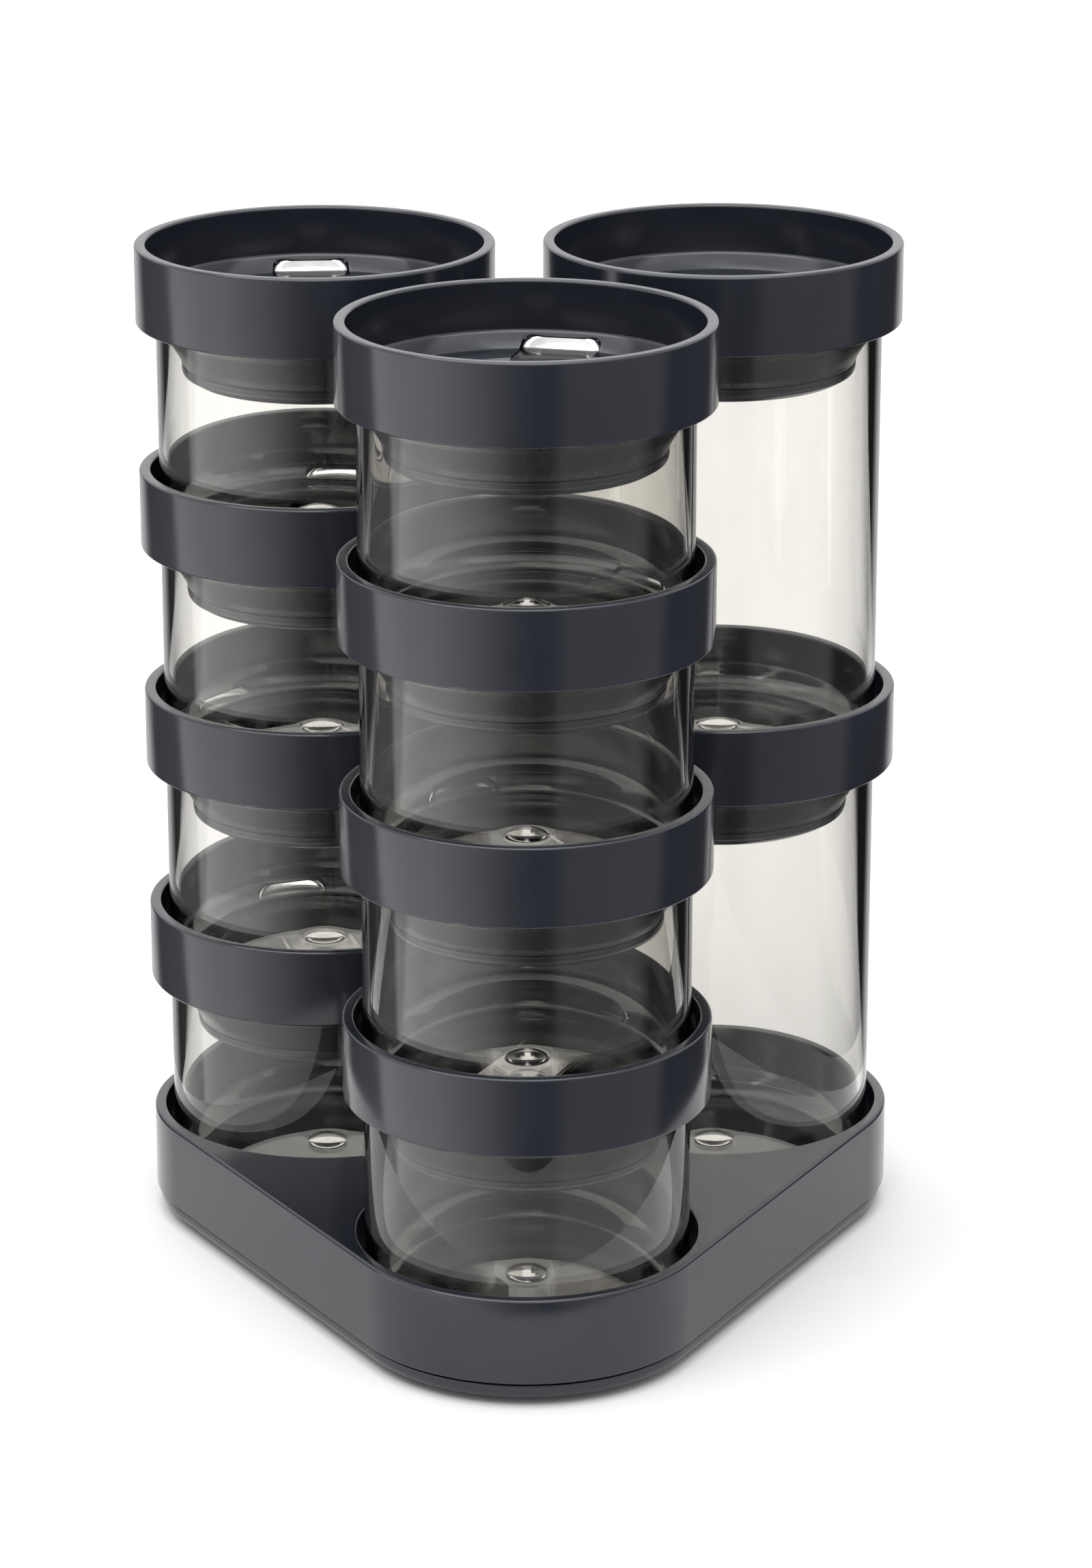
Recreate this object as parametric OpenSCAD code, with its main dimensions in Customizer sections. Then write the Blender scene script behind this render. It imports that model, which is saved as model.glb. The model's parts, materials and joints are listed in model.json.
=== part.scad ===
// Spice carousel: three stacks of lidded glass jars on a rounded-triangle tray that
// turns on a base plate. Every lid is also the socket that the next jar stands in.
// Origin: the axis that the tray turns about, at the surface that the feet stand on.
// +Z is up and the front stack is towards -Y.

/* [Jars] */
// Outside diameter of the glass
jar_d = 68; // [57:0.5:81]
// Thickness of the glass
jar_wall = 1.5; // [1:0.1:2]
// Height of a small jar
jar_h = 47.5; // [40:0.5:70]
// Radius of the jar's bottom corner
jar_corner_r = 8; // [6:0.5:9]
// Height of the hollow under the jar's bottom
punt_h = 1.6; // [0.8:0.1:2.4]
// Diameter of the button in the middle of the jar's bottom
button_d = 9; // [6:0.5:14]
// Height of that button
button_h = 1.2; // [0.6:0.1:1.6]

/* [Lids] */
// Room round a jar standing in a socket
socket_gap = 1.75; // [0.8:0.05:2.5]
// Thickness of the collar's wall
lid_wall = 2.5; // [2:0.1:3.5]
// Height of the collar
collar_h = 17; // [16.5:0.1:21]
// Depth of the socket, from its rim to the ledge that a jar stands on
socket_depth = 13.5; // [11.5:0.1:13.8]
// How far the socket's floor rises from the ledge out to the wall
floor_rise = 1.6; // [0.8:0.1:2]
// Thickness of the floor where it meets the wall
floor_t = 2.5; // [2.3:0.1:2.8]
// Depth of the finger bowl below the ledge
bowl_depth = 7.5; // [6.5:0.1:8.5]
// How far the plug reaches below the collar
plug_depth = 12.2; // [11:0.1:16]
// Room between the retaining disc's edge and the glass
disc_gap = 3.2; // [2.2:0.1:4]
// Width of the steel strap
strap_w = 16.4; // [12:0.2:20]
// Thickness of the steel strap
strap_t = 0.8; // [0.6:0.1:0.9]

/* [Carousel] */
// Gap between the collars of neighbouring stacks
stack_gap = 10.1; // [8:0.1:30]
// Height of the tray, from its lower edge to its deck
tray_h = 18.6; // [18:0.1:26]
// Thickness of the tray's walls and deck
tray_wall = 2.5; // [2:0.1:3.5]
// Depth of a tray pocket, down to the ledge that a jar stands on
pocket_depth = 14.3; // [13.5:0.1:14.5]
// Height of the base plate
plate_h = 3.4; // [3.2:0.1:5]
// How far the base plate's edge is set back under the tray
plate_setback = 0.8; // [0.4:0.1:2]
// Gap between the tray and the base plate
run_gap = 0.6; // [0.5:0.1:1]
// Height of the rubber feet
foot_h = 1.5; // [1.5:0.1:4]

/* [Bearing] */
// Number of balls in the race
ball_count = 16; // [8:1:24]
// Radius of the circle that the balls run on
race_r = 42; // [36:0.5:50]
// Diameter of the pivot screw's shoulder
pivot_d = 5; // [4:0.1:6]
// Radial clearance of the pivot in its bush
pivot_fit = 0.05; // [0.02:0.01:0.09]

/* [Hidden] */
$fn = 96;

// Each stack: its name, the direction it stands in, the height of each jar in pitches
// from the bottom up, and how each lid happens to be turned.
STACKS = [
    ["front", -90, [1, 1, 1, 1], [60, 115, 40, 76]],
    ["left", 150, [1, 1, 1, 1], [105, 135, 82, 93]],
    ["right", 30, [2, 2], [150, 12]],
];
BASE_NODES = ["base_plate", "rubber_feet", "centre_pad", "pivot_bush", "ball_cage",
              "bearing_balls", "pivot_screw", "pivot_washer", "tray"];
STACK_NODES = [for (s = STACKS, n = [1 : len(s[2])], piece = ["jar", "lid", "strap", "seal", "plug"])
               str(s[0], "_", piece, "_", n)];

plastic = [0.21, 0.22, 0.25];
glass = [0.82, 0.90, 0.92, 0.35];
steel = [0.78, 0.79, 0.80];
silicone = [0.07, 0.07, 0.08];
rubber = [0.10, 0.10, 0.10];

edge_r = 0.6;                                  // rounding of moulded edges
seat_gap = 0.2;                                // what keeps a seated piece off its seat
overlap = 0.5;                                 // how far the shapes of one piece run into each other

// Jars and the sockets that hold them
jar_r = jar_d / 2;
bore_r = jar_r - jar_wall;                     // inside of the glass
base_ring_r = jar_r - jar_corner_r;            // circle that a jar stands on
ledge_half = 2;                                // half the width of the ledge under that circle
punt_r = base_ring_r - ledge_half;
ledge_in_r = base_ring_r - ledge_half;
ledge_out_r = base_ring_r + ledge_half;
socket_r = jar_r + socket_gap;
collar_r = socket_r + lid_wall;

// Lid, measured down from its rim
floor_edge = socket_depth - floor_rise;        // where the floor meets the wall
glass_seat = floor_edge + floor_t;             // the face that rests on the jar's rim
seat_lap = 1;                                  // how far the seat reaches in past the glass
seat_in_r = bore_r - seat_lap;
web_t = 1.2;
web_depth = glass_seat + web_t;                // underside of the floor inside the glass
foot_fit = 0.5;                                // room between the collar's foot and the glass
disc_r = bore_r - disc_gap;
neck_inset = 2.3;
neck_r = disc_r - neck_inset;
neck_t = 2;
bowl_r = (pow(ledge_in_r, 2) + pow(bowl_depth, 2)) / (2 * bowl_depth);
bowl_t = 1.6;
plug_bottom = collar_h + plug_depth;
disc_h = 3;
disc_floor_t = 2;
disc_round = 2;
spigot_h = 3;
spigot_t = 1.6;
spigot_fit = 0.1;
neck_bottom = plug_bottom - disc_floor_t - seat_gap;

// Seal, measured down from the lid's rim
lip_fit = 0.08;                                // between the seal's lip and the glass
lip_drop = 0.7;                                // the lip's top below the collar
lip_top = collar_h + lip_drop;
lip_r = bore_r - lip_fit;
groove_h = 0.4;                                // groove between the seal and the disc
seal_bottom = plug_bottom - disc_h - groove_h;
seal_t = 1.2;
seal_fit = 0.05;
seal_foot_h = 3.5;
seal_edge_h = 0.6;
seal_root_h = 2.2;                             // the skirt's root above the seal's foot

// Strap, measured in its lid
strap_inset = 1.6;                             // from the strap's end to the wall
strap_half = socket_r - strap_inset;
strap_sink = 0.1;
strap_fit = 0.15;
strap_corner_r = 2.5;

// Stacks
pitch = jar_h + 2 * seat_gap + glass_seat - socket_depth;
stack_r = (2 * collar_r + stack_gap) / sqrt(3);

// Heights of the tray, the base and the race
plate_z = foot_h;
plate_top = plate_z + plate_h;
tray_z = plate_top + run_gap;
tray_top = tray_z + tray_h;
pocket_z = tray_top - pocket_depth;
pocket_floor_t = 2;
pocket_draft = 0.2;                            // how much narrower a pocket is at its floor
cup_t = 2;
skirt_t = tray_wall + 0.9;                      // the side wall below the pockets, stiffer than the deck
ball_d = 4;
ball_gap = 0.05;
channel_floor_t = 2;
channel_z = plate_z + channel_floor_t;
channel_half = 4.2;
ball_z = channel_z + ball_gap + ball_d / 2;
race_z = ball_z + ball_d / 2 + ball_gap;       // track on the tray's underside
race_half = 3;
cage_half = 3.5;
cage_t = 1.6;
cage_fit = 0.15;

// Pivot: the screw and its washer turn with the tray in a bush in the base plate
thrust_gap = 0.2;
head_h = 1.4;
head_r = 4.5;
washer_t = 0.6;
washer_r = 6;
bush_t = 1.45;
flange_t = 0.7;
flange_lap = 3.5;
pivot_r = pivot_d / 2;
bush_in_r = pivot_r + pivot_fit;
bush_out_r = bush_in_r + bush_t;
head_z = plate_z + thrust_gap;
washer_z = head_z + head_h;
web_z = washer_z + washer_t + thrust_gap;
boss_top = race_z - thrust_gap - flange_t;
recess_gap = 2.5;
recess_r = washer_r + recess_gap;
boss_t = 2;
boss_r = recess_r + boss_t;
flange_r = bush_out_r + flange_lap;
hub_r = 8;
thread_step = 0.5;
thread_r = pivot_r - thread_step;
thread_l = 8;

// Feet
pad_r = 8;
pad_offset = 18;                               // from a stack's axis out to its foot's centre
pad_at = stack_r + pad_offset;
centre_pad_lap = 4;
centre_pad_r = recess_r + centre_pad_lap;

// Height of the socket floor at radius r, for a seat that is depth deep
function floor_z(r, depth) = -depth + (r - ledge_out_r) * floor_rise / (socket_r - ledge_out_r);

function total(list, count) = count == 0 ? 0 : list[count - 1] + total(list, count - 1);
function jar_height(units) = jar_h + (units - 1) * pitch;
function jar_z(stack, i) = pocket_z + seat_gap + total(stack[2], i) * pitch;
function rim_z(stack, i) = jar_z(stack, i) + jar_height(stack[2][i]) + seat_gap + glass_seat;

// ---- Shapes shared by several pieces ----

// Rectangle from lo to hi, with the radius upper on its two upper corners and lower on the others
module rounded_rect(lo, hi, upper, lower) {
    square_between([lo[0] + lower, lo[1]], [hi[0] - lower, lo[1] + lower + overlap]);
    square_between([lo[0] + upper, hi[1] - upper - overlap], [hi[0] - upper, hi[1]]);
    square_between([lo[0], lo[1] + lower], [hi[0], hi[1] - upper]);
    for (x = [lo[0] + upper, hi[0] - upper])
        translate([x, hi[1] - upper]) circle(upper);
    for (x = [lo[0] + lower, hi[0] - lower])
        translate([x, lo[1] + lower]) circle(lower);
}

module square_between(lo, hi) {
    translate(lo) square(hi - lo);
}

// Flat outline of the carousel: three circles of radius r and the tangents between them
module outline(r) {
    for (s = STACKS) {
        rotate(s[1]) translate([stack_r, 0]) circle(r);
        rotate(s[1] + 180) translate([0, -stack_r * sin(60)])
            square([stack_r * cos(60) + r, 2 * stack_r * sin(60)]);
    }
}

module at_stack(s) {
    rotate(s[1]) translate([stack_r, 0, 0]) rotate(-s[1]) children();
}

// ---- Jars ----

module jar_bottom_section() {
    crown_r = (pow(punt_r, 2) + pow(punt_h, 2)) / (2 * punt_h);
    button_r = (pow(button_d / 2, 2) + pow(button_h, 2)) / (2 * button_h);
    difference() {
        union() {
            square([base_ring_r, jar_wall]);
            intersection() {
                translate([0, punt_h + jar_wall - crown_r]) circle(crown_r, $fn = 256);
                square([punt_r + overlap, punt_h + jar_wall]);
            }
            intersection() {
                translate([0, punt_h + jar_wall + button_h - button_r]) circle(button_r);
                square([button_d, punt_h + jar_wall + button_h]);
            }
        }
        translate([0, punt_h - crown_r]) circle(crown_r, $fn = 256);
    }
}

module jar(units) {
    h = jar_height(units);
    color(glass) rotate_extrude() {
        jar_bottom_section();
        square_between([bore_r, jar_corner_r], [jar_r, h - jar_wall / 2]);
        translate([jar_r - jar_wall / 2, h - jar_wall / 2]) circle(jar_wall / 2);
        intersection() {
            translate([base_ring_r, jar_corner_r]) difference() {
                circle(jar_corner_r);
                circle(jar_corner_r - jar_wall);
            }
            translate([base_ring_r, 0]) square(jar_corner_r);
        }
    }
}

// ---- Lids ----

module bowl_section() {
    centre = [0, bowl_r - socket_depth - bowl_depth];
    difference() {
        intersection() {
            translate(centre) circle(bowl_r + bowl_t);
            square_between([0, -plug_bottom], [ledge_in_r + overlap, -socket_depth]);
        }
        translate(centre) circle(bowl_r);
    }
}

module strap_blank(grow, rise) {
    half = strap_half + grow;
    top = [[-half, floor_z(half, socket_depth)], [-ledge_out_r, -socket_depth],
           [ledge_out_r, -socket_depth], [half, floor_z(half, socket_depth)]];
    under = [for (i = [3 : -1 : 0]) top[i] - [0, strap_sink + strap_t + grow / 3]];
    upper = [for (p = top) p + [0, rise - strap_sink]];
    intersection() {
        rotate([90, 0, 0]) linear_extrude(strap_w + 2 * grow, center = true)
            polygon(concat(upper, under));
        translate([0, 0, -plug_bottom]) linear_extrude(plug_bottom)
            rounded_rect([-half, -strap_w / 2 - grow], [half, strap_w / 2 + grow],
                         strap_corner_r, strap_corner_r);
    }
}

// The floor with the collar's foot, the glass's seat and the neck of the plug
module floor_section() {
    foot_r = jar_r + foot_fit;
    polygon([[ledge_in_r, -socket_depth], [ledge_out_r, -socket_depth], [socket_r, -floor_edge],
             [socket_r + overlap, -floor_edge], [socket_r + overlap, edge_r - collar_h],
             [foot_r, edge_r - collar_h], [foot_r, -glass_seat], [seat_in_r, -glass_seat],
             [seat_in_r, -web_depth], [neck_r, -web_depth], [neck_r, -neck_bottom],
             [neck_r - neck_t, -neck_bottom], [neck_r - neck_t, -web_depth], [ledge_in_r, -web_depth]]);
}

module lid() {
    color(plastic) difference() {
        union() {
            rotate_extrude() rounded_rect([socket_r, -collar_h], [collar_r, 0], edge_r, edge_r);
            rotate_extrude() floor_section();
            rotate_extrude() bowl_section();
        }
        strap_blank(strap_fit, strap_t);
    }
}

module strap() {
    color(steel) strap_blank(0, 0);
}

module seal() {
    foot_r = neck_r + seal_t;
    tip = lip_top + seal_t / 2;
    color(silicone) rotate_extrude() {
        square_between([neck_r + seal_fit, -seal_bottom], [foot_r, seal_foot_h - seal_bottom]);
        polygon([[neck_r + seal_fit, -seal_bottom], [disc_r, -seal_bottom],
                 [disc_r, seal_edge_h - seal_bottom], [lip_r, -tip], [lip_r - seal_t, -tip],
                 [foot_r, seal_root_h - seal_bottom]]);
        translate([lip_r - seal_t / 2, -tip]) circle(seal_t / 2);
    }
}

module plug() {
    color(plastic) rotate_extrude() {
        square_between([0, -plug_bottom], [disc_r - disc_round, disc_floor_t - plug_bottom]);
        square_between([neck_r + seat_gap, disc_round - plug_bottom], [disc_r, disc_h - plug_bottom]);
        intersection() {
            translate([disc_r - disc_round, disc_round - plug_bottom]) circle(disc_round);
            translate([disc_r - disc_round, -plug_bottom]) square(disc_round);
        }
        square_between([neck_r - neck_t - spigot_fit - spigot_t, disc_floor_t / 2 - plug_bottom],
                       [neck_r - neck_t - spigot_fit, disc_floor_t + spigot_h - plug_bottom]);
    }
}

// ---- Tray ----

// Half section of the hollow of a pocket, measured down from the deck. Its wall has a draft.
module pocket_hollow() {
    foot_r = socket_r - pocket_draft;
    foot_z = floor_z(foot_r, pocket_depth);
    polygon([[0, -pocket_depth], [ledge_out_r, -pocket_depth], [foot_r, foot_z],
             [socket_r - pocket_draft * overlap / foot_z, overlap], [0, overlap]]);
}

module tray() {
    color(plastic) difference() {
        union() {
            difference() {
                translate([0, 0, tray_z]) linear_extrude(tray_h) outline(collar_r);
                translate([0, 0, tray_z - overlap]) linear_extrude(tray_h - tray_wall + overlap)
                    outline(collar_r - skirt_t);
            }
            for (s = STACKS)
                at_stack(s) translate([0, 0, pocket_z - pocket_floor_t])
                    cylinder(r = socket_r + cup_t, h = pocket_depth + pocket_floor_t - overlap);
            translate([0, 0, race_z]) cylinder(r = hub_r, h = tray_top - overlap - race_z);
            translate([0, 0, race_z]) difference() {
                cylinder(r = race_r + race_half, h = pocket_z - race_z - overlap);
                translate([0, 0, -overlap])
                    cylinder(r = race_r - race_half, h = pocket_z - race_z + overlap);
            }
        }
        for (s = STACKS)
            at_stack(s) translate([0, 0, tray_top]) rotate_extrude() pocket_hollow();
        translate([0, 0, race_z - overlap]) cylinder(r = thread_r, h = thread_l + overlap);
    }
}

// ---- Base, race and pivot ----

module base_plate() {
    color(plastic) difference() {
        union() {
            translate([0, 0, plate_z]) linear_extrude(plate_h) outline(collar_r - plate_setback);
            translate([0, 0, plate_z]) cylinder(r = boss_r, h = boss_top - plate_z);
        }
        translate([0, 0, plate_z - overlap]) cylinder(r = recess_r, h = web_z - plate_z + overlap);
        cylinder(r = bush_out_r, h = boss_top + overlap);
        translate([0, 0, channel_z]) rotate_extrude()
            square_between([race_r - channel_half, 0], [race_r + channel_half, plate_h]);
    }
}

module rubber_feet() {
    color(rubber) for (s = STACKS)
        rotate(s[1]) translate([pad_at, 0, 0]) rotate_extrude() rounded_pad(pad_r);
}

module centre_pad() {
    color(rubber) rotate_extrude() rounded_pad(centre_pad_r);
}

// Half section of a disc of the feet's height with a rounded lower edge
module rounded_pad(r) {
    square([r - edge_r, foot_h]);
    square_between([0, edge_r], [r, foot_h]);
    translate([r - edge_r, edge_r]) circle(edge_r);
}

module pivot_bush() {
    color("goldenrod") difference() {
        union() {
            translate([0, 0, web_z]) cylinder(r = bush_out_r, h = boss_top - web_z + flange_t);
            translate([0, 0, boss_top]) cylinder(r = flange_r, h = flange_t);
        }
        cylinder(r = bush_in_r, h = race_z);
    }
}

module ball_cage() {
    color("ivory") translate([0, 0, ball_z - cage_t / 2]) difference() {
        rotate_extrude() square_between([race_r - cage_half, 0], [race_r + cage_half, cage_t]);
        for (i = [0 : ball_count - 1])
            rotate(i * 360 / ball_count) translate([race_r, 0, -overlap])
                cylinder(r = ball_d / 2 + cage_fit, h = cage_t + 2 * overlap);
    }
}

module bearing_balls() {
    color(steel) for (i = [0 : ball_count - 1])
        rotate(i * 360 / ball_count) translate([race_r, 0, ball_z]) sphere(d = ball_d);
}

module pivot_screw() {
    socket_af = 3;                             // hexagon socket, across its corners
    color(steel) difference() {
        union() {
            translate([0, 0, head_z]) cylinder(r = head_r, h = head_h);
            translate([0, 0, washer_z - overlap]) cylinder(r = pivot_r, h = race_z - washer_z + overlap);
            translate([0, 0, race_z - overlap]) cylinder(r = thread_r, h = thread_l);
        }
        translate([0, 0, head_z - overlap]) cylinder(d = socket_af, h = head_h, $fn = 6);
    }
}

module pivot_washer() {
    color(steel) translate([0, 0, washer_z]) difference() {
        cylinder(r = washer_r, h = washer_t);
        translate([0, 0, -overlap]) cylinder(r = pivot_r + pivot_fit, h = washer_t + 2 * overlap);
    }
}

base_plate();
rubber_feet();
centre_pad();
pivot_bush();
ball_cage();
bearing_balls();
pivot_screw();
pivot_washer();
tray();

for (s = STACKS, i = [0 : len(s[2]) - 1]) {
    at_jar = [0, 0, jar_z(s, i)];
    at_rim = [0, 0, rim_z(s, i)];
    turn = s[3][i];
    at_stack(s) translate(at_jar) jar(s[2][i]);
    at_stack(s) translate(at_rim) rotate(turn) lid();
    at_stack(s) translate(at_rim) rotate(turn) strap();
    at_stack(s) translate(at_rim) seal();
    at_stack(s) translate(at_rim) plug();
}
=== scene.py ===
"""Looks of the spice carousel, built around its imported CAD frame.

Sizes are in millimetres, in the object's own frame, and are scaled to metres as meshes are made.
"""
import json
import math

import bmesh
import bpy
from mathutils import Matrix, Vector


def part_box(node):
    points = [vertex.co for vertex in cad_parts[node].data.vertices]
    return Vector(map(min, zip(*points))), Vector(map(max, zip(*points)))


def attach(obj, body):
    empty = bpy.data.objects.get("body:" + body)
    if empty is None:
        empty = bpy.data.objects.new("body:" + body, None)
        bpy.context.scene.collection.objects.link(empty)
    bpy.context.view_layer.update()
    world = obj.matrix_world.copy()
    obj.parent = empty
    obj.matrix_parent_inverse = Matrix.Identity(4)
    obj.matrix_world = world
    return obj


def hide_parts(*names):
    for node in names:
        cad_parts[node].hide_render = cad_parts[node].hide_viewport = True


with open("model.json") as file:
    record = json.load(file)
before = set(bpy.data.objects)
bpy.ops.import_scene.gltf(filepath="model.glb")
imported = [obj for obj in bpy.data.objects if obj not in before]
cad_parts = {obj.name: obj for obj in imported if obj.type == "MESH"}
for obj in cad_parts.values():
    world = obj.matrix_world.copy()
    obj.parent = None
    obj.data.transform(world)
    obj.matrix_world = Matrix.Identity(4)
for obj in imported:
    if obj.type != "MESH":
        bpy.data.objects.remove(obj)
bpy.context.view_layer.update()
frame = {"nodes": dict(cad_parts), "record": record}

MM = 0.001
TINY = 1e-6
SEGMENTS = 192
ARC_STEPS = 6
SHARP = math.radians(32)

# Walls and details that a node's box doesn't tell
JAR_WALL = 1.5
JAR_CORNER = 8.0
JAR_FOOT = 2.0            # half the width of the ring that a jar stands on
PUNT = 1.6
BUTTON_R = 4.5
BUTTON_H = 1.2
LID_WALL = 2.5
EDGE = 0.6                # rounding of moulded edges
SOCKET_DEPTH = 13.5
FLOOR_RISE = 1.6
UPTURN_R = 31.0           # where a lid's floor turns up
UPTURN = 0.6
BOWL_DEPTH = 7.5
BOWL_T = 1.6
COLLAR_H = 17.0
PIP_R = 0.45
SEAT_DEPTH = 14.4         # the face that rests on the glass, below the lid's rim
WEB_DEPTH = 15.6
NECK_T = 2.0
STRAP_W = 16.4
STRAP_T = 0.8
STRAP_SINK = 0.1
STRAP_INSET = 1.6
STRAP_CORNER = 2.5
BEAD_W = 1.1              # rolled edge along each side of a strap
BEAD_H = 0.09
POCKET_DEPTH = 14.3
POCKET_DRAFT = 0.2
CAGE_HALF = 3.5            # half the width of the ball cage's ring


# ---- Places, from the frame ----

def box_mm(node):
    low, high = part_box(node)
    return low / MM, high / MM


def middle(node):
    low, high = box_mm(node)
    return (low + high) / 2


def heading(node):
    """Angle about Z of a long flat node, from how its vertices spread."""
    centre = middle(node)
    sxx = syy = sxy = 0.0
    for vertex in frame["nodes"][node].data.vertices:
        x = vertex.co.x / MM - centre.x
        y = vertex.co.y / MM - centre.y
        sxx += x * x
        syy += y * y
        sxy += x * y
    return math.atan2(2 * sxy, sxx - syy) / 2


STACKS = {}
for node_name in frame["nodes"]:
    stack, kind, number = (node_name.split("_") + ["", ""])[:3]
    if kind == "jar":
        STACKS.setdefault(stack, []).append(int(number))

jar_low, jar_high = box_mm("front_jar_1")
lid_low, lid_high = box_mm("front_lid_1")
seal_low, seal_high = box_mm("front_seal_1")
plug_low, plug_high = box_mm("front_plug_1")
tray_low, tray_high = box_mm("tray")
plate_low, plate_high = box_mm("base_plate")
JAR_R = (jar_high.x - jar_low.x) / 2
COLLAR_R = (lid_high.x - lid_low.x) / 2
SOCKET_R = COLLAR_R - LID_WALL
LIP_R = (seal_high.x - seal_low.x) / 2
LIP_TOP = lid_high.z - seal_high.z
SEAL_BOTTOM = lid_high.z - seal_low.z
DISC_R = (plug_high.x - plug_low.x) / 2
PLUG_BOTTOM = lid_high.z - plug_low.z
NECK_R = DISC_R - 2.3
LEDGE_R = JAR_R - JAR_CORNER + JAR_FOOT
RACE_R = box_mm("ball_cage")[1].x - CAGE_HALF
BOWL_R = JAR_R - JAR_CORNER - JAR_FOOT


# ---- Outlines ----

def arc(centre, radius, start, end, steps=ARC_STEPS):
    """Points on an arc. Angles are in degrees."""
    found = []
    for i in range(steps + 1):
        a = math.radians(start + (end - start) * i / steps)
        found.append((centre[0] + radius * math.cos(a), centre[1] + radius * math.sin(a)))
    return found


def rounded(corners, steps=ARC_STEPS):
    """Closed outline from (x, z) or (x, z, radius) corners."""
    found = []
    count = len(corners)
    for i, corner in enumerate(corners):
        here = Vector(corner[:2])
        radius = corner[2] if len(corner) > 2 else 0
        if radius == 0:
            found.append(tuple(here))
            continue
        before = (Vector(corners[i - 1][:2]) - here).normalized()
        after = (Vector(corners[(i + 1) % count][:2]) - here).normalized()
        half = before.angle(after) / 2
        centre = here + (before + after).normalized() * radius / math.sin(half)
        start = here + before * radius / math.tan(half) - centre
        end = here + after * radius / math.tan(half) - centre
        first = math.atan2(start.y, start.x)
        turn = (math.atan2(end.y, end.x) - first + math.pi) % math.tau - math.pi
        for k in range(steps + 1):
            a = first + turn * k / steps
            found.append((centre.x + radius * math.cos(a), centre.y + radius * math.sin(a)))
    return found


def cap(radius, height, z, steps=10):
    """A dome's points from its edge in to the axis, height above z."""
    sphere = (radius ** 2 + height ** 2) / (2 * height)
    found = []
    for i in range(steps + 1):
        x = radius * (1 - i / steps)
        found.append((x, z + height - sphere + math.sqrt(sphere ** 2 - x ** 2)))
    return found


# ---- Meshes ----

def ring(bm, radius, z, centre=(0, 0), segments=SEGMENTS):
    if radius < TINY:
        return [bm.verts.new((centre[0] * MM, centre[1] * MM, z * MM))]
    made = []
    for i in range(segments):
        a = math.tau * i / segments
        x = centre[0] + radius * math.cos(a)
        y = centre[1] + radius * math.sin(a)
        made.append(bm.verts.new((x * MM, y * MM, z * MM)))
    return made


def bridge(bm, first, second):
    """Faces between two closed rings, either of which may be a single point."""
    count = max(len(first), len(second))
    if count == 1:
        return
    for i in range(count):
        j = (i + 1) % count
        corners = [first[i % len(first)], first[j % len(first)],
                   second[j % len(second)], second[i % len(second)]]
        bm.faces.new(list(dict.fromkeys(corners)))


def bridge_all(bm, rings):
    for first, second in zip(rings, rings[1:]):
        bridge(bm, first, second)


def mesh_from(bm, name, material):
    bmesh.ops.recalc_face_normals(bm, faces=bm.faces)
    mesh = bpy.data.meshes.new(name)
    bm.to_mesh(mesh)
    bm.free()
    mesh.shade_smooth()
    mesh.set_sharp_from_angle(angle=SHARP)
    mesh.materials.append(material)
    return mesh


def lathed(name, outline, material, segments=SEGMENTS):
    """Mesh of a closed (radius, z) outline turned about Z."""
    bm = bmesh.new()
    rings = [ring(bm, x, z, segments=segments) for x, z in outline]
    bridge_all(bm, rings + rings[:1])
    return mesh_from(bm, name, material)


def piece(name, mesh, body, replaced, place=(0, 0, 0), turn=0.0):
    """Shows a mesh at a place in millimetres, riding on a body in place of a CAD node."""
    made = bpy.data.objects.new(name, mesh)
    bpy.context.scene.collection.objects.link(made)
    made.location = Vector(place) * MM
    made.rotation_euler = (0, 0, turn)
    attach(made, body)
    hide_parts(replaced)


def cut(mesh, tools):
    """The mesh with tool meshes cut from it, as a new mesh."""
    target = bpy.data.objects.new("target", mesh)
    bpy.context.scene.collection.objects.link(target)
    helpers = []
    for tool in tools:
        helper = bpy.data.objects.new("tool", tool)
        bpy.context.scene.collection.objects.link(helper)
        helpers.append(helper)
        modifier = target.modifiers.new("cut", "BOOLEAN")
        modifier.operation = "DIFFERENCE"
        modifier.solver = "EXACT"
        modifier.object = helper
    bpy.context.view_layer.update()
    graph = bpy.context.evaluated_depsgraph_get()
    result = bpy.data.meshes.new_from_object(target.evaluated_get(graph))
    for used in helpers + [target]:
        bpy.data.objects.remove(used)
    result.shade_smooth()
    result.set_sharp_from_angle(angle=SHARP)
    return result


# ---- Materials ----

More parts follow.
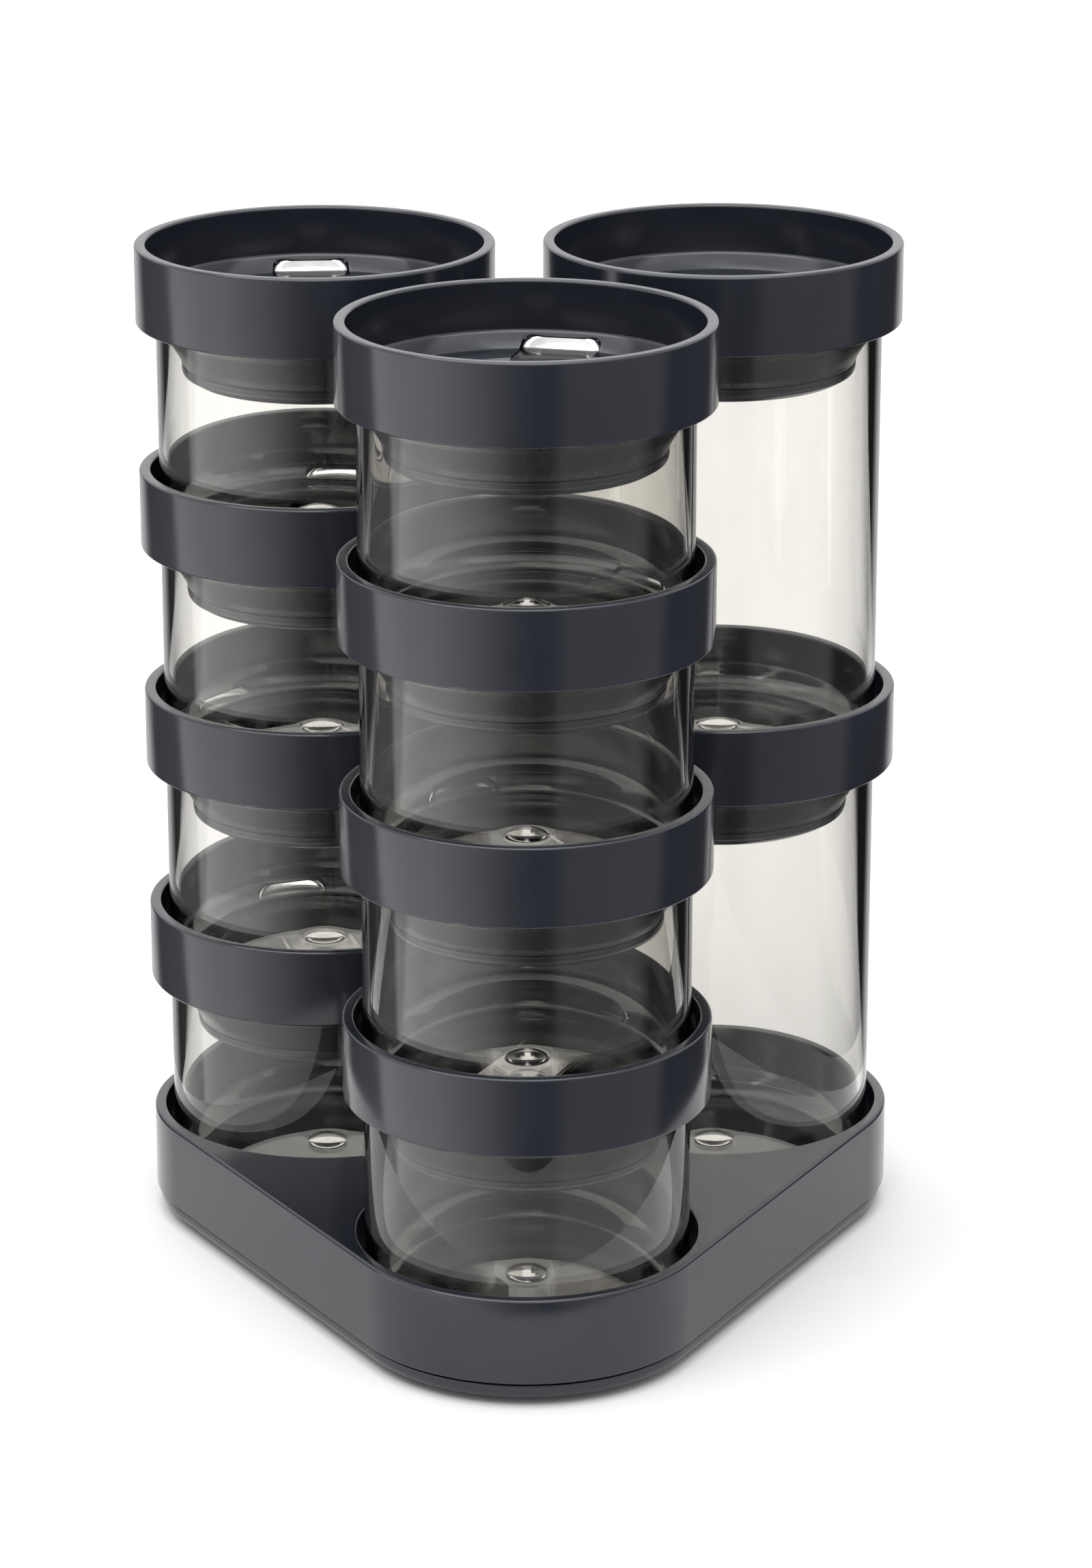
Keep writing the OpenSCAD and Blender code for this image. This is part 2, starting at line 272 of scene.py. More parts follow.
class Tree:
    """A node tree for one material, built a step at a time."""

    def __init__(self, name):
        self.material = bpy.data.materials.new(name)
        self.material.use_nodes = True
        self.tree = self.material.node_tree
        self.tree.nodes.clear()
        self.output = self.node("ShaderNodeOutputMaterial")
        self.shader = self.node("ShaderNodeBsdfPrincipled")
        self.link(self.shader.outputs[0], self.output.inputs[0])
        coordinates = self.node("ShaderNodeTexCoord")
        self.vector = coordinates.outputs["Object"]
        self.seed = self.node("ShaderNodeObjectInfo").outputs["Random"]

    def node(self, kind, **settings):
        made = self.tree.nodes.new(kind)
        for key, value in settings.items():
            setattr(made, key, value)
        return made

    def link(self, source, target):
        self.tree.links.new(source, target)

    def set(self, **values):
        for key, value in values.items():
            self.shader.inputs[key.replace("_", " ")].default_value = value

    def stretched(self, x, y, z):
        """The piece's own coordinates, scaled along each axis."""
        mapping = self.node("ShaderNodeMapping", vector_type="POINT")
        mapping.inputs["Scale"].default_value = (x, y, z)
        self.link(self.vector, mapping.inputs["Vector"])
        return mapping.outputs[0]

    def noise(self, scale, detail=3.0, roughness=0.5, vector=None, distortion=0.0):
        """4D noise, different on every piece. Scale is in features to a metre."""
        made = self.node("ShaderNodeTexNoise", noise_dimensions="4D")
        made.inputs["Scale"].default_value = scale
        made.inputs["Detail"].default_value = detail
        made.inputs["Roughness"].default_value = roughness
        made.inputs["Distortion"].default_value = distortion
        shift = self.node("ShaderNodeMath", operation="MULTIPLY")
        self.link(self.seed, shift.inputs[0])
        shift.inputs[1].default_value = 10.0
        self.link(shift.outputs[0], made.inputs["W"])
        self.link(vector or self.vector, made.inputs["Vector"])
        return made.outputs["Fac"]

    def spread(self, source, low, high, start=0.3, end=0.7):
        """Maps source from start..end to low..high."""
        made = self.node("ShaderNodeMapRange")
        made.inputs["From Min"].default_value = start
        made.inputs["From Max"].default_value = end
        made.inputs["To Min"].default_value = low
        made.inputs["To Max"].default_value = high
        self.link(source, made.inputs["Value"])
        return made.outputs["Result"]

    def tones(self, source, dark, light, start=0.3, end=0.7):
        """Colour between dark and light as source goes from start to end."""
        made = self.node("ShaderNodeValToRGB")
        first, last = made.color_ramp.elements
        first.position, last.position = start, end
        first.color, last.color = (*dark, 1), (*light, 1)
        self.link(source, made.inputs[0])
        return made.outputs[0]

    def mixed(self, share, first, second):
        made = self.node("ShaderNodeMix", data_type="RGBA")
        self.link(share, made.inputs["Factor"])
        self.link(first, made.inputs[6])
        self.link(second, made.inputs[7])
        return made.outputs[2]

    def added(self, first, second):
        made = self.node("ShaderNodeMath", operation="ADD", use_clamp=True)
        self.link(first, made.inputs[0])
        self.link(second, made.inputs[1])
        return made.outputs[0]

    def bump(self, height, distance, strength=1.0, under=None):
        """Bump from a height pattern. Distance is in metres."""
        made = self.node("ShaderNodeBump")
        made.inputs["Strength"].default_value = strength
        made.inputs["Distance"].default_value = distance
        self.link(height, made.inputs["Height"])
        if under:
            self.link(under, made.inputs["Normal"])
        return made.outputs[0]

    def edges(self, start=0.52, end=0.62):
        """1 on convex edges, 0 on flat surfaces."""
        geometry = self.node("ShaderNodeNewGeometry")
        return self.spread(geometry.outputs["Pointiness"], 0.0, 1.0, start, end)

    def colour(self, source):
        self.link(source, self.shader.inputs["Base Color"])

    def rough(self, source):
        self.link(source, self.shader.inputs["Roughness"])

    def normal(self, source):
        self.link(source, self.shader.inputs["Normal"])


def plastic():
    """Glossy moulded plastic: slate grey with faint flow marks, orange peel and hairline scuffs."""
    t = Tree("slate_plastic")
    flow = t.noise(28, detail=2, distortion=1.5)
    tone = t.tones(flow, (0.0110, 0.0128, 0.0190), (0.0140, 0.0162, 0.0235))
    worn = t.tones(flow, (0.045, 0.048, 0.056), (0.060, 0.064, 0.072))
    t.colour(t.mixed(t.edges(), tone, worn))
    cloud = t.spread(t.noise(70, detail=5), 0.10, 0.19)
    scuffs = t.spread(t.noise(900, detail=2, vector=t.stretched(1, 1, 0.03)), 0.0, 0.09, 0.62, 0.80)
    t.rough(t.added(cloud, scuffs))
    peel = t.bump(t.noise(260, detail=1), 0.00001)
    t.normal(t.bump(t.noise(4200, detail=2), 0.000002, under=peel))
    t.set(IOR=1.52)
    return t.material


def glass():
    """Clear tube glass: slight ripple along the draw, faint smears, and open to lamps and soft light."""
    t = Tree("clear_glass")
    smear = t.noise(55, detail=4, vector=t.stretched(1, 1, 0.4), distortion=0.8)
    # Colour: a faint warm tint of the glass, plus painted shade: a grey darkening far beyond what clear
    # glass absorbs, which dims everything seen through it.
    t.colour(t.tones(smear, (0.835, 0.825, 0.800), (0.870, 0.860, 0.835)))
    t.rough(t.spread(smear, 0.0, 0.012, 0.50, 0.85))
    ripple = t.bump(t.noise(60, detail=1, vector=t.stretched(1, 1, 0.15)), 0.000008)
    t.normal(ripple)
    t.set(IOR=1.48, Transmission_Weight=1.0)
    clear = t.node("ShaderNodeBsdfTransparent")
    clear.inputs[0].default_value = (0.92, 0.92, 0.90, 1)
    path = t.node("ShaderNodeLightPath")
    shown = t.shader.outputs[0]
    for ray in ("Is Diffuse Ray", "Is Shadow Ray"):
        mix = t.node("ShaderNodeMixShader")
        t.link(path.outputs[ray], mix.inputs[0])
        t.link(shown, mix.inputs[1])
        t.link(clear.outputs[0], mix.inputs[2])
        shown = mix.outputs[0]
    t.link(shown, t.output.inputs[0])
    return t.material


def steel(name, dark, light, low, high, grain):
    """Metal with fine lines along X, uneven polish and faint wipe marks."""
    t = Tree(name)
    lines = t.noise(grain, detail=4, vector=t.stretched(0.02, 1, 1))
    wipe = t.noise(120, detail=4, distortion=1.0)
    t.colour(t.tones(wipe, dark, light))
    t.rough(t.added(t.spread(wipe, low, high), t.spread(lines, 0.0, 0.05, 0.45, 0.75)))
    t.normal(t.bump(lines, 0.0000015))
    t.set(Metallic=1.0)
    return t.material


def elastomer(name, dark, light, low, high, peel, depth):
    """Silicone or rubber: dark, with a fine skin and paler dust."""
    t = Tree(name)
    skin = t.noise(peel, detail=3)
    dust = t.noise(500, detail=6, roughness=0.7)
    t.colour(t.tones(dust, dark, light, 0.45, 0.85))
    t.rough(t.spread(t.noise(90, detail=4), low, high))
    t.normal(t.bump(skin, depth))
    return t.material


def machined(name, dark, light, metallic, low, high):
    """Turned metal or nylon: rings of tool marks round the axis."""
    t = Tree(name)
    marks = t.node("ShaderNodeTexWave", wave_type="RINGS", rings_direction="Z")
    marks.inputs["Scale"].default_value = 900
    marks.inputs["Distortion"].default_value = 2.0
    t.link(t.vector, marks.inputs["Vector"])
    cloud = t.noise(150, detail=4)
    t.colour(t.tones(cloud, dark, light))
    t.rough(t.added(t.spread(cloud, low, high), t.spread(marks.outputs["Fac"], 0.0, 0.05)))
    t.normal(t.bump(marks.outputs["Fac"], 0.000002))
    t.set(Metallic=metallic)
    return t.material


BOARD = (0.93, 0.93, 0.925)


def paper(name):
    """The floor: smooth white board."""
    t = Tree(name)
    cloud = t.noise(3, detail=4)
    t.colour(t.tones(cloud, [c - 0.01 for c in BOARD], BOARD))
    t.rough(t.spread(cloud, 0.55, 0.7))
    t.normal(t.bump(t.noise(1500, detail=2), 0.00001))
    return t


PLASTIC = plastic()
GLASS = glass()
STEEL = steel("polished_steel", (0.56, 0.56, 0.555), (0.70, 0.70, 0.69), 0.05, 0.12, 2500)
SILICONE = elastomer("black_silicone", (0.010, 0.010, 0.011), (0.030, 0.030, 0.031), 0.16, 0.30,
                     600, 0.00001)
RUBBER = elastomer("foot_rubber", (0.022, 0.022, 0.022), (0.060, 0.058, 0.055), 0.55, 0.80,
                   2500, 0.00003)
BRASS = machined("bush_brass", (0.62, 0.44, 0.18), (0.76, 0.58, 0.28), 1.0, 0.18, 0.32)
NYLON = machined("cage_nylon", (0.70, 0.67, 0.58), (0.80, 0.78, 0.70), 0.0, 0.40, 0.55)
BEARING = steel("bearing_steel", (0.52, 0.53, 0.55), (0.66, 0.67, 0.69), 0.14, 0.26, 1200)
CAD_LOOKS = {"rubber": RUBBER, "brass": BRASS, "cage": NYLON, "bearing_steel": BEARING}


# ---- Jars ----

def jar_mesh(height):
    """A jar of the given height, with its foot at z 0."""
    foot_out = JAR_R - JAR_CORNER
    lip = JAR_WALL / 2
    blend = 1.2               # width of the fillet round the button
    button_z = JAR_WALL + PUNT * 0.93
    button = cap(BUTTON_R, BUTTON_H, button_z)
    outline = cap(BOWL_R, PUNT, 0, 12)[::-1]
    outline += arc((foot_out, JAR_CORNER), JAR_CORNER, -90, 0, 16)
    outline += arc((JAR_R - lip, height - lip), lip, 0, 180, 12)
    outline += arc((foot_out, JAR_CORNER), JAR_CORNER - JAR_WALL, 0, -90, 16)
    outline += [p for p in cap(BOWL_R, PUNT, JAR_WALL, 24) if p[0] > BUTTON_R + blend]
    outline += [(BUTTON_R + 0.5, button[0][1] + 0.02)] + button
    return lathed("glass_jar", outline, GLASS)


# ---- Lids ----

def lid_floor(r):
    """Height of the socket's floor at radius r, from the rim. It turns up before the wall."""
    return max(0.0, r - UPTURN_R) * UPTURN - SOCKET_DEPTH


def strap_line(half):
    """Points (x, z) along half of a strap, from its end to the flat, with its bend eased."""
    bend = 0.5
    ease = 6
    found = []
    for i in range(1, ease + 3):
        a = math.pi / 2 * i / (ease + 2)
        x = half - STRAP_CORNER * (1 - math.cos(a))
        found.append((-x, lid_floor(x)))
    for i in range(ease + 1):
        share = i / ease
        x = UPTURN_R + bend - 2 * bend * share
        if x < half - STRAP_CORNER:
            found.append((-x, -SOCKET_DEPTH + (1 - share) ** 2 * bend * UPTURN))
    return [(-half, lid_floor(half))] + found


def strap_mesh(name, grow, above, material, bead):
    """A strap on its lid's floor, or with grow the blank of the recess that it lies in."""
    half = SOCKET_R - STRAP_INSET + grow
    width = STRAP_W / 2 + grow
    corner = STRAP_CORNER
    left = [(x, z - STRAP_SINK) for x, z in strap_line(half)]
    path = left + [(-x, z) for x, z in reversed(left)]
    thick = STRAP_T + grow / 3
    rim = min(0.25, thick / 3)
    bm = bmesh.new()
    rows = []
    for x, z in path:
        short = max(0.0, corner - (half - abs(x)))
        edge = width - corner + math.sqrt(max(0.0, corner ** 2 - short ** 2))
        across = [(edge - rim * (1 - math.sin(a)), above - rim * (1 - math.cos(a)))
                  for a in (math.pi / 2, math.pi / 4, 0)]
        across += [(edge - BEAD_W * 0.45, above + bead),
                   (edge - BEAD_W * 0.8, above + bead * 0.7),
                   (edge - BEAD_W, above), (edge - BEAD_W * 1.6, above)]
        top = across + [(-y, h) for y, h in reversed(across)]
        under = [(-edge, -thick + rim), (-edge + rim, -thick),
                 (edge - rim, -thick), (edge, -thick + rim)]
        rows.append([bm.verts.new((x * MM, y * MM, (z + h) * MM)) for y, h in top + under])
    bridge_all(bm, rows)
    bm.faces.new(rows[0])
    bm.faces.new(rows[-1])
    return mesh_from(bm, name, material)


def lid_outline():
    sphere = (BOWL_R ** 2 + BOWL_DEPTH ** 2) / (2 * BOWL_DEPTH)
    top = sphere - SOCKET_DEPTH - BOWL_DEPTH
    shell = sphere + BOWL_T
    rim_x = math.sqrt(shell ** 2 - (top + WEB_DEPTH) ** 2)
    under = []
    bowl = []
    steps = 18
    bowl_edge = 0.6
    for i in range(steps + 1):
        x = rim_x * (1 - i / steps)
        under.append((x, top - math.sqrt(shell ** 2 - x ** 2)))
        x = (BOWL_R - bowl_edge) * i / steps
        bowl.append((x, top - math.sqrt(sphere ** 2 - x ** 2)))
    neck_bottom = SEAL_BOTTOM + 1.2
    bore = NECK_R - NECK_T
    seat_in = JAR_R - JAR_WALL - 1
    recess = JAR_R + 0.5      # the collar's inside, round the glass
    return rounded([
        (COLLAR_R, 0, EDGE), (SOCKET_R, 0, EDGE), (SOCKET_R, lid_floor(SOCKET_R), 1.0),
        (UPTURN_R, -SOCKET_DEPTH, 1.5), (BOWL_R, -SOCKET_DEPTH, 0.25), *bowl[::-1],
        *under[::-1], (bore, -WEB_DEPTH), (bore, -neck_bottom),
        (NECK_R, -neck_bottom), (NECK_R, -WEB_DEPTH, 0.3), (seat_in, -WEB_DEPTH, 0.3),
        (seat_in, -SEAT_DEPTH), (recess, -SEAT_DEPTH), (recess, -COLLAR_H, 0.3),
        (COLLAR_R, -COLLAR_H, EDGE)])


def pip(bm, angle):
    """A gate mark on the rim's outer edge: a low nub, a separate ball that stands in the rim."""
    centre = Vector((COLLAR_R - 0.5, 0, -0.48)) * MM
    place = Matrix.Rotation(angle, 4, "Z") @ Matrix.Translation(centre)
    bmesh.ops.create_icosphere(bm, subdivisions=3, radius=PIP_R * MM, matrix=place)


def seal_mesh():
    tip = 0.6
    root = NECK_R + 0.05
    outline = rounded([
        (LIP_R, -LIP_TOP, tip * 0.45), (LIP_R, -LIP_TOP - 1.5, 0.6),
        (DISC_R + 0.5, 1.4 - SEAL_BOTTOM, 1.5),
        (DISC_R, -SEAL_BOTTOM, 0.25), (root, -SEAL_BOTTOM), (root, 3.5 - SEAL_BOTTOM, 0.3),
        (root + 1.2, 3.5 - SEAL_BOTTOM, 0.3), (root + 1.2, 2.2 - SEAL_BOTTOM, 0.5),
        (LIP_R - 1.2, -LIP_TOP - 0.4, 0.3), (LIP_R - 1.0, -LIP_TOP, 0.3)])
    return lathed("silicone_seal", outline, SILICONE)


def plug_mesh():
    """The retaining disc: a rounded lower edge, three fine ridges and a spigot inside the neck."""
    z = -PLUG_BOTTOM
    spigot = NECK_R - NECK_T - 0.1
    ridge = 0.14
    side = [(DISC_R, z + 2, 1.6)]
    for i in range(3):
        base = z + 2.05 + i * 0.3
        side += [(DISC_R, base), (DISC_R - ridge, base + 0.08), (DISC_R - ridge, base + 0.16),
                 (DISC_R, base + 0.24)]
    outline = rounded([
        (0, z), (DISC_R - 2, z, 1.5), (DISC_R - 0.1, z + 1.4, 0.8), *side[1:], (DISC_R, z + 3, 0.0),
        (NECK_R + 0.2, z + 3), (NECK_R + 0.2, z + 2), (spigot, z + 2), (spigot, z + 5, 0.2),
        (spigot - 1.6, z + 5, 0.2), (spigot - 1.6, z + 2), (0, z + 2)])
    return lathed("plug_disc", outline, PLASTIC)


def make_jars_and_lids():
    outline = lid_outline()
    bm = bmesh.new()
    rings = [ring(bm, x, z) for x, z in outline]
    bridge_all(bm, rings + rings[:1])
    for angle in (40, 220):
        pip(bm, math.radians(angle))
    lid = cut(mesh_from(bm, "lid", PLASTIC), [strap_mesh("recess", 0.15, STRAP_T, PLASTIC, 0.0)])
    strap = strap_mesh("strap", 0.0, 0.0, STEEL, BEAD_H)
    seal = seal_mesh()
    plug = plug_mesh()
    jars = {}
    for stack, numbers in STACKS.items():
        for n in numbers:
            jar = f"{stack}_jar_{n}"
            low, high = box_mm(jar)
            height = round(high.z - low.z, 2)
            if height not in jars:
                jars[height] = jar_mesh(height)
            foot = Vector(((low.x + high.x) / 2, (low.y + high.y) / 2, low.z))
            piece(f"{stack}_{n}_glass_jar", jars[height], jar, jar, foot)
            body = f"{stack}_lid_{n}"
            rim = Vector((foot.x, foot.y, box_mm(body)[1].z))
            turn = heading(f"{stack}_strap_{n}")
            turned_lid = lid.copy()
            turned_lid.transform(Matrix.Rotation(turn, 4, "Z"))
            piece(f"{stack}_{n}_lid_body", turned_lid, body, body, rim)
            piece(f"{stack}_{n}_steel_strap", strap, body, f"{stack}_strap_{n}", rim, turn)
            piece(f"{stack}_{n}_silicone_seal", seal, body, f"{stack}_seal_{n}", rim)
            piece(f"{stack}_{n}_plug_disc", plug, body, f"{stack}_plug_{n}", rim)


# ---- Tray and base plate ----

CENTRES = [middle(f"{stack}_jar_1").to_2d() for stack in STACKS]
CENTRES.sort(key=lambda c: math.atan2(c.y, c.x))


def outline_ring(bm, radius, z, steps=64):
    """The rounded triangle at a distance radius from the three stack axes, as a ring of vertices."""
    made = []
    for centre in CENTRES:
        middle_angle = math.atan2(centre.y, centre.x)
        for i in range(steps + 1):
            a = middle_angle + math.radians(-60 + 120 * i / steps)
            x = centre.x + radius * math.cos(a)
            y = centre.y + radius * math.sin(a)
            made.append(bm.verts.new((x * MM, y * MM, z * MM)))
    return made


def ring_edges(bm, loop):
    found = []
    for first, second in zip(loop, loop[1:] + loop[:1]):
        found.append(bm.edges.get((first, second)) or bm.edges.new((first, second)))
    return found


def fill(bm, loops):
    """A flat face between an outer ring and the rings of its holes."""
    edges = [e for loop in loops for e in ring_edges(bm, loop)]
    bmesh.ops.triangle_fill(bm, use_beauty=True, use_dissolve=False, edges=edges)


def swept_edge(radius, z, size, outward, steps=ARC_STEPS):
    """(inset, height) pairs of a rounded edge, from the flat to the side, or back for a lower edge."""
    found = []
    for i in range(steps + 1):
        a = math.pi / 2 * i / steps
        found.append((radius - size + size * math.sin(a), z - outward * size * (1 - math.cos(a))))
    return found


def make_tray():
    top = tray_high.z
    bottom = tray_low.z
    edge = 0.8                # rounding of the rim
    flat = 0.4                # of the deck, beside each rounding
    lip = 0.5                 # rounding of a pocket's mouth
    corner = 1                # rounding of a pocket's foot
    bm = bmesh.new()
    side = [(COLLAR_R - edge - flat, top)] + swept_edge(COLLAR_R, top, edge, 1)
    side += swept_edge(COLLAR_R, bottom, 0.3, -1)[::-1] + [(COLLAR_R - 1.5, bottom)]
    loops = [outline_ring(bm, r, z) for r, z in side]
    bridge_all(bm, loops)
    holes = []
    foot_r = SOCKET_R - POCKET_DRAFT
    slope = FLOOR_RISE / (SOCKET_R - LEDGE_R)
    wall_z = (foot_r - LEDGE_R) * slope - POCKET_DEPTH
    for centre in CENTRES:
        rim = [(SOCKET_R + lip + flat, 0)]
        for i in range(ARC_STEPS + 1):
            a = math.pi / 2 * i / ARC_STEPS
            rim.append((SOCKET_R + lip - lip * math.sin(a), lip * math.cos(a) - lip))
        for i in range(ARC_STEPS + 1):
            a = math.pi / 2 * i / ARC_STEPS
            rim.append((foot_r - corner + math.cos(a), wall_z + corner - math.sin(a) + 0.1))
        rim += [(LEDGE_R + 1, slope - POCKET_DEPTH), (LEDGE_R, -POCKET_DEPTH + 0.05),
                (LEDGE_R - 1, -POCKET_DEPTH), (LEDGE_R - 5, -POCKET_DEPTH), (0, -POCKET_DEPTH)]
        rings = [ring(bm, r, top + z, centre) for r, z in rim]
        bridge_all(bm, rings)
        holes.append(rings[0])
    fill(bm, [loops[0]] + holes)
    fill(bm, [loops[-1]])
    block = mesh_from(bm, "tray_block", PLASTIC)
    # Open fault: this cut hollows the block, but a flat face stays across its lower edge.
    piece("turning_tray", cut(block, [tray_hollow(top, bottom)]), "turntable", "tray")


def tray_hollow(top, bottom):
    """The room under the tray: inside its side wall, under its deck, round the pockets, track and hub."""
    overlap = 1.0
    wall = 2.5
    cup_t = 2                 # walls and floor round a pocket
    hub_r = 8
    bm = bmesh.new()
    low = outline_ring(bm, COLLAR_R - wall, bottom - overlap)
    high = outline_ring(bm, COLLAR_R - wall, top - wall)
    bridge(bm, low, high)
    fill(bm, [low])
    fill(bm, [high])
    hollow = mesh_from(bm, "hollow", PLASTIC)
    race_z = box_mm("bearing_balls")[1].z + 0.05
    solids = []
    for centre in CENTRES:
        bm = bmesh.new()
        cup_r = SOCKET_R + cup_t
        cup_z = top - POCKET_DEPTH - cup_t
        cup = [(0, cup_z), (cup_r, cup_z), (cup_r, top), (0, top)]
        bridge_all(bm, [ring(bm, r, z, centre) for r, z in cup])
        solids.append(mesh_from(bm, "cup", PLASTIC))
    track_in = RACE_R - 3
    track_out = RACE_R + 3
    track_top = race_z + 2.1
    track = [(track_in, race_z), (track_out, race_z), (track_out, track_top), (track_in, track_top)]
    solids.append(lathed("track", track, PLASTIC))
    solids.append(lathed("hub", [(0, race_z), (hub_r, race_z), (hub_r, top), (0, top)], PLASTIC))
    return cut(hollow, solids)


def make_base_plate():
    radius = COLLAR_R - (tray_high.x - plate_high.x)
    bottom = plate_low.z
    top = tray_low.z - 0.6
    boss_top = plate_high.z
    channel = bottom + 2
    channel_in = RACE_R - 4.2
    channel_out = RACE_R + 4.2
    boss_r = 10.5
    bush_r = 4.0
    washer_r = 8.5
    web = box_mm("pivot_bush")[0].z
    bm = bmesh.new()
    side = [(radius - 1.0, top)] + swept_edge(radius, top, 0.4, 1)
    side += swept_edge(radius, bottom, 2.2, -1, 10)[::-1] + [(radius - 2.8, bottom)]
    loops = [outline_ring(bm, r, z) for r, z in side]
    bridge_all(bm, loops)
    turned = [(channel_out + 0.4, top), (channel_out, top), (channel_out, channel),
              (channel_in, channel), (channel_in, top), (boss_r, top), (boss_r, boss_top),
              (bush_r, boss_top), (bush_r, web), (washer_r, web), (washer_r, bottom + 0.3),
              (washer_r + 0.3, bottom), (washer_r + 1, bottom)]
    rings = [ring(bm, r, z) for r, z in turned]
    bridge_all(bm, rings)
    fill(bm, [loops[0], rings[0]])
    fill(bm, [loops[-1], rings[-1]])
    piece("base_plate_body", mesh_from(bm, "plate", PLASTIC), "base", "base_plate")


def dress_cad_nodes():
    """Procedural materials for the CAD nodes that stay as they are."""
    slots = {part["node"]: part["material_slot"] for part in frame["record"]["subparts"]}
    for name, node in frame["nodes"].items():
        if slots[name] in CAD_LOOKS:
            for slot in node.material_slots:
                slot.material = CAD_LOOKS[slots[name]]


# ---- Studio ----

SOFT_LIGHT = 0.79
CEILING = 1.35
OVERHEAD_POWER = 24
TABLE_R = 150
BACKDROP_R = 6000
# Azimuths in degrees anticlockwise from +X, with the brightness that reflections see there. The
# stops follow brightness sampled along the collars in the photograph, rounded and adjusted.
PANELS = [(-180, 2.1), (-150, 2.0), (-119, 1.05), (-100, 0.35), (-84, 0.12), (-74, 0.16), (-66, 0.45),
          (-6, 0.5), (4, 0.08), (50, 0.05), (62, 0.9), (118, 0.9), (130, 0.1), (164, 0.4), (169, 2.1)]


def make_camera():
    """At the photograph's viewing angle."""
    camera = bpy.data.cameras.new("camera")
    camera.lens = 115.24
    camera.sensor_width = 36
    made = bpy.data.objects.new("camera", camera)
    bpy.context.scene.collection.objects.link(made)
    made.location = Vector((-18.6, -1021, 439.7)) * MM
    made.rotation_euler = (math.radians(90 - 18.13), 0, math.radians(-1.33))
    bpy.context.scene.camera = made


def lamp(name, place, aim, width, height, power):
    """A soft box. Places are in metres and power in watts."""
    light = bpy.data.lights.new(name, "AREA")
    light.shape = "RECTANGLE"
    light.size = width
    light.size_y = height
    light.energy = power
    made = bpy.data.objects.new(name, light)
    bpy.context.scene.collection.objects.link(made)
    made.location = place
    made.rotation_euler = (Vector(aim) - Vector(place)).to_track_quat("-Z", "Y").to_euler()
    made.visible_camera = False


def sector(tree, direction, stops):
    """Brightness by azimuth, from (degrees, brightness) stops."""
    wheel = tree.nodes.new("ShaderNodeTexGradient")
    wheel.gradient_type = "RADIAL"
    tree.links.new(direction, wheel.inputs[0])
    ramp = tree.nodes.new("ShaderNodeValToRGB")
    elements = ramp.color_ramp.elements
    while len(elements) < len(stops):
        elements.new(0.5)
    for element, (degrees, value) in zip(elements, stops):
        element.position = (degrees + 180) / 360
        element.color = (value, value, value, 1)
    tree.links.new(wheel.outputs[0], ramp.inputs[0])
    return ramp.outputs[0]


def reflected(tree):
    """1 for what is seen in a reflection, 0 for what is seen directly or through glass."""
    path = tree.nodes.new("ShaderNodeLightPath")
    bounced = tree.nodes.new("ShaderNodeMath")
    bounced.operation = "GREATER_THAN"
    bounced.inputs[1].default_value = 0.5
    tree.links.new(path.outputs["Glossy Depth"], bounced.inputs[0])
    only = tree.nodes.new("ShaderNodeMath")
    only.operation = "SUBTRACT"
    only.use_clamp = True
    tree.links.new(bounced.outputs[0], only.inputs[0])
    tree.links.new(path.outputs["Is Diffuse Ray"], only.inputs[1])
    return only.outputs[0]


def backdrop_light(tree, strength):
    light = tree.nodes.new("ShaderNodeBackground")
    light.inputs[0].default_value = (1, 1, 1, 1)
    light.inputs[1].default_value = strength
    return light


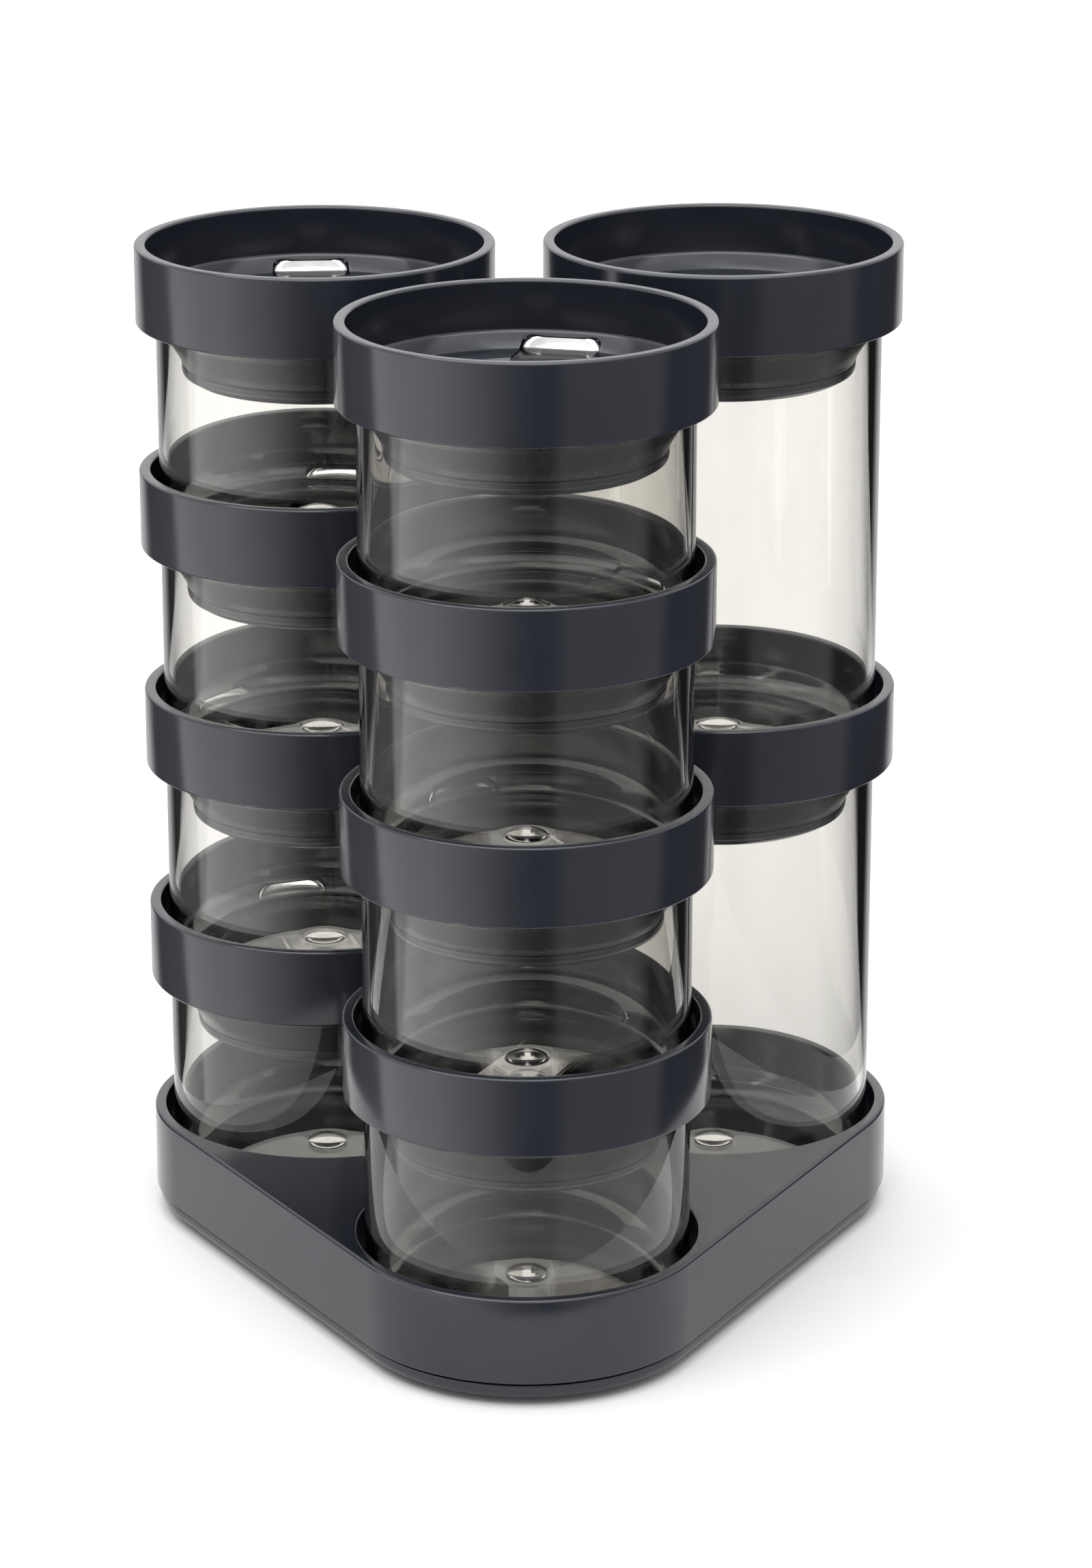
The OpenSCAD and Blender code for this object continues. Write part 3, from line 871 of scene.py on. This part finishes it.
def make_world():
    """White from all round. Reflections see it as PANELS give it, under a bright ceiling."""
    world = bpy.data.worlds.new("studio")
    bpy.context.scene.world = world
    world.use_nodes = True
    world.cycles.sampling_method = "NONE"
    tree = world.node_tree
    tree.nodes.clear()
    direction = tree.nodes.new("ShaderNodeTexCoord").outputs["Generated"]
    height = tree.nodes.new("ShaderNodeSeparateXYZ")
    tree.links.new(direction, height.inputs[0])
    rise = tree.nodes.new("ShaderNodeMapRange")
    rise.inputs["From Min"].default_value = 0.05
    rise.inputs["From Max"].default_value = 0.35
    tree.links.new(height.outputs["Z"], rise.inputs["Value"])
    seen = tree.nodes.new("ShaderNodeMix")
    seen.data_type = "RGBA"
    seen.inputs[7].default_value = (CEILING, CEILING, CEILING, 1)
    tree.links.new(rise.outputs["Result"], seen.inputs["Factor"])
    tree.links.new(sector(tree, direction, PANELS), seen.inputs[6])
    path = tree.nodes.new("ShaderNodeLightPath")
    shown = backdrop_light(tree, 1.0).outputs[0]
    reflection = backdrop_light(tree, 1.0)
    tree.links.new(seen.outputs[2], reflection.inputs[0])
    soft = backdrop_light(tree, SOFT_LIGHT)
    for share, light in ((path.outputs["Is Diffuse Ray"], soft), (reflected(tree), reflection)):
        mix = tree.nodes.new("ShaderNodeMixShader")
        tree.links.new(share, mix.inputs[0])
        tree.links.new(shown, mix.inputs[1])
        tree.links.new(light.outputs[0], mix.inputs[2])
        shown = mix.outputs[0]
    output = tree.nodes.new("ShaderNodeOutputWorld")
    tree.links.new(shown, output.inputs[0])


def floor_piece(name, inner, outer, material):
    """A flat ring, or a disc when inner is 0, on the floor. Radii are in millimetres."""
    bm = bmesh.new()
    bridge(bm, ring(bm, inner, 0, segments=96), ring(bm, outer, 0, segments=96))
    made = bpy.data.objects.new(name, mesh_from(bm, name, material))
    bpy.context.scene.collection.objects.link(made)
    if made.data.polygons[0].normal.z < 0:
        made.data.flip_normals()


def make_studio():
    """A white table that fades into white. Reflections see it only out to TABLE_R."""
    near = paper("table").material
    far = paper("backdrop")
    distance = far.node("ShaderNodeVectorMath", operation="LENGTH")
    far.link(far.vector, distance.inputs[0])
    fade = far.spread(distance.outputs["Value"], 0.0, 0.4, 0.2, 1.2)
    far.link(fade, far.shader.inputs["Emission Strength"])
    far.set(Emission_Color=(1, 1, 1, 1))
    away = far.node("ShaderNodeBsdfTransparent")
    mix = far.node("ShaderNodeMixShader")
    far.link(reflected(far.tree), mix.inputs[0])
    far.link(far.shader.outputs[0], mix.inputs[1])
    far.link(away.outputs[0], mix.inputs[2])
    far.link(mix.outputs[0], far.output.inputs[0])
    floor_piece("table", 0, TABLE_R, near)
    floor_piece("backdrop", TABLE_R, BACKDROP_R, far.material)
    lamp("overhead", (-0.15, -0.3, 1.4), (0, 0, 0.1), 1.7, 1.7, OVERHEAD_POWER)
    make_world()
    scene = bpy.context.scene
    scene.view_settings.view_transform = "Standard"
    scene.cycles.caustics_refractive = False
    scene.cycles.caustics_reflective = False


make_camera()
make_jars_and_lids()
make_tray()
make_base_plate()
dress_cad_nodes()
make_studio()
